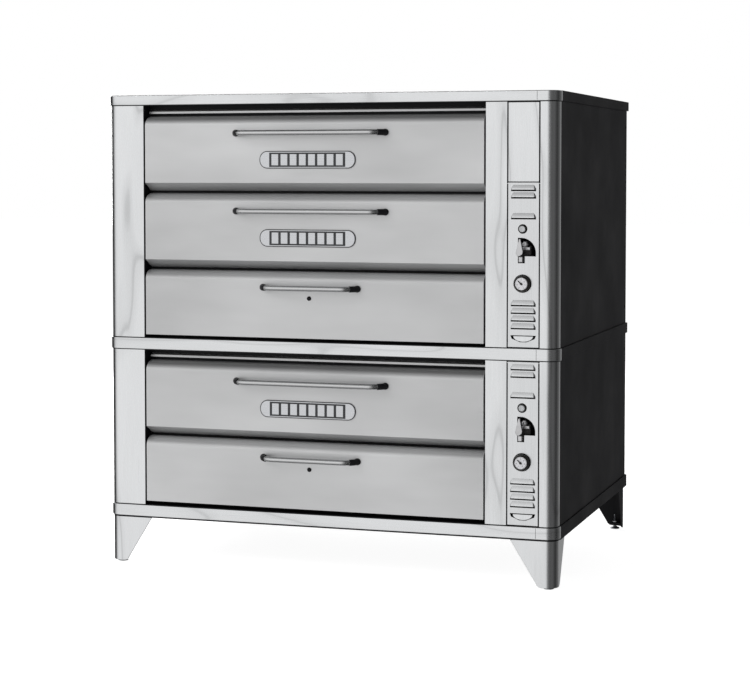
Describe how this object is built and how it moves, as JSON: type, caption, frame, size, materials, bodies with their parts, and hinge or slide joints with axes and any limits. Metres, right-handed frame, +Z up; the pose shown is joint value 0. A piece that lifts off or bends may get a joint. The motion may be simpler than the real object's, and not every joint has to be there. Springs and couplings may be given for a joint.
{
  "type": "deck oven",
  "caption": "Gas deck oven in stacked sections on short tapered legs, with drop-down doors over baking hearths and burner compartments and a side strip of controls.",
  "frame": {"origin": "centre of the plan on the floor, under the middle of the cabinet", "axes": "+Z up, -Y to the front where the doors are, +X to the right as seen from the front, where the controls are"},
  "size_m": [1.524, 1.24, 1.547],
  "materials": {
    "satin_stainless": "satin sheet, brushed along its length",
    "bright_band": "brighter satin folded band",
    "handle_steel": "polished round bar",
    "black_steel": "black semi-gloss paint",
    "lining_steel": "grey aluminised sheet",
    "door_liner": "heat-tinted sheet",
    "hearth_steel": "bare heat-darkened plate",
    "cast_iron": "rough cast and black pipe",
    "dial_black": "black moulded rim, light face",
    "button_grey": "grey moulded cap",
    "lever_metal": "polished casting",
    "foot_steel": "black plated"
  },
  "bodies": {
    "cabinet": {"base_frame": "black_steel", "base_trim": "bright_band", "middle_deck": "black_steel", "middle_trim": "bright_band", "top_cover": "black_steel", "top_trim": "bright_band", "upper_blank_panel": "satin_stainless", "lower_left_side": "black_steel", "lower_right_side": "black_steel", "lower_back": "black_steel", "lower_left_post": "satin_stainless", "lower_right_post": "satin_stainless", "lower_door_stile": "satin_stainless", "lower_oven_box": "lining_steel", "lower_burner": "cast_iron", "upper_left_side": "black_steel", "upper_right_side": "black_steel", "upper_back": "black_steel", "upper_left_post": "satin_stainless", "upper_right_post": "satin_stainless", "upper_door_stile": "satin_stainless", "upper_oven_box": "lining_steel", "upper_burner": "cast_iron", "bottom_hearth": "hearth_steel", "middle_hearth": "hearth_steel", "top_hearth": "hearth_steel", "front_right_leg": "satin_stainless", "front_left_leg": "satin_stainless", "rear_right_leg": "black_steel", "rear_left_leg": "black_steel"},
    "bottom_door": {"bottom_door_skin": "satin_stainless", "bottom_door_liner": "door_liner", "bottom_door_handle": "handle_steel", "bottom_door_rod": "door_liner"},
    "middle_door": {"middle_door_skin": "satin_stainless", "middle_door_liner": "door_liner", "middle_door_handle": "handle_steel", "middle_door_rod": "door_liner"},
    "top_door": {"top_door_skin": "satin_stainless", "top_door_liner": "door_liner", "top_door_handle": "handle_steel", "top_door_rod": "door_liner"},
    "lower_burner_door": {"lower_burner_door_panel": "satin_stainless", "lower_burner_door_handle": "handle_steel", "lower_burner_door_rod": "door_liner"},
    "upper_burner_door": {"upper_burner_door_panel": "satin_stainless", "upper_burner_door_handle": "handle_steel", "upper_burner_door_rod": "door_liner"},
    "lower_cover": {"lower_control_cover": "satin_stainless"},
    "lower_lever": {"lower_valve_lever": "lever_metal"},
    "lower_dial": {"lower_thermostat_dial": "dial_black"},
    "lower_button": {"lower_pilot_button": "button_grey"},
    "upper_cover": {"upper_control_cover": "satin_stainless"},
    "upper_lever": {"upper_valve_lever": "lever_metal"},
    "upper_dial": {"upper_thermostat_dial": "dial_black"},
    "upper_button": {"upper_pilot_button": "button_grey"},
    "front_right_foot_body": {"front_right_foot": "foot_steel"},
    "front_left_foot_body": {"front_left_foot": "foot_steel"},
    "rear_right_foot_body": {"rear_right_foot": "foot_steel"},
    "rear_left_foot_body": {"rear_left_foot": "foot_steel"}
  },
  "joints": [
    {"name": "bottom_door_hinge", "type": "hinge", "parent": "cabinet", "child": "bottom_door", "pos_m": [-0.049, -0.552, 0.4555], "axis": [1, 0, 0], "range_deg": [0, 90]},
    {"name": "middle_door_hinge", "type": "hinge", "parent": "cabinet", "child": "middle_door", "pos_m": [-0.049, -0.552, 1.0065], "axis": [1, 0, 0], "range_deg": [0, 90]},
    {"name": "top_door_hinge", "type": "hinge", "parent": "cabinet", "child": "top_door", "pos_m": [-0.049, -0.552, 1.2575], "axis": [1, 0, 0], "range_deg": [0, 90]},
    {"name": "lower_burner_door_hinge", "type": "hinge", "parent": "cabinet", "child": "lower_burner_door", "pos_m": [-0.049, -0.552, 0.232], "axis": [1, 0, 0], "range_deg": [0, 90]},
    {"name": "upper_burner_door_hinge", "type": "hinge", "parent": "cabinet", "child": "upper_burner_door", "pos_m": [-0.049, -0.552, 0.783], "axis": [1, 0, 0], "range_deg": [0, 90]},
    {"name": "lower_cover_hinge", "type": "hinge", "parent": "cabinet", "child": "lower_cover", "pos_m": [0.6495, -0.564, 0.7055], "axis": [-1, 0, 0], "range_deg": [0, 90]},
    {"name": "lower_lever_turn", "type": "hinge", "parent": "cabinet", "child": "lower_lever", "pos_m": [0.643, -0.57, 0.492], "axis": [0, 1, 0], "range_deg": [0, 90]},
    {"name": "lower_dial_turn", "type": "hinge", "parent": "cabinet", "child": "lower_dial", "pos_m": [0.647, -0.575, 0.3965], "axis": [0, 1, 0], "range_deg": [0, 300]},
    {"name": "lower_button_press", "type": "slide", "parent": "cabinet", "child": "lower_button", "axis": [0, 1, 0], "range_m": [0, 0.006], "stiffness_N_per_m": 400, "springref_m": -0.002},
    {"name": "upper_cover_hinge", "type": "hinge", "parent": "cabinet", "child": "upper_cover", "pos_m": [0.6495, -0.564, 1.2605], "axis": [-1, 0, 0], "range_deg": [0, 90]},
    {"name": "upper_lever_turn", "type": "hinge", "parent": "cabinet", "child": "upper_lever", "pos_m": [0.643, -0.57, 1.047], "axis": [0, 1, 0], "range_deg": [0, 90]},
    {"name": "upper_dial_turn", "type": "hinge", "parent": "cabinet", "child": "upper_dial", "pos_m": [0.647, -0.575, 0.9515], "axis": [0, 1, 0], "range_deg": [0, 300]},
    {"name": "upper_button_press", "type": "slide", "parent": "cabinet", "child": "upper_button", "axis": [0, 1, 0], "range_m": [0, 0.006], "stiffness_N_per_m": 400, "springref_m": -0.002},
    {"name": "front_right_foot_screw", "type": "slide", "parent": "cabinet", "child": "front_right_foot_body", "axis": [0, 0, 1], "range_m": [-0.025, 0]},
    {"name": "front_left_foot_screw", "type": "slide", "parent": "cabinet", "child": "front_left_foot_body", "axis": [0, 0, 1], "range_m": [-0.025, 0]},
    {"name": "rear_right_foot_screw", "type": "slide", "parent": "cabinet", "child": "rear_right_foot_body", "axis": [0, 0, 1], "range_m": [-0.025, 0]},
    {"name": "rear_left_foot_screw", "type": "slide", "parent": "cabinet", "child": "rear_left_foot_body", "axis": [0, 0, 1], "range_m": [-0.025, 0]}
  ]
}
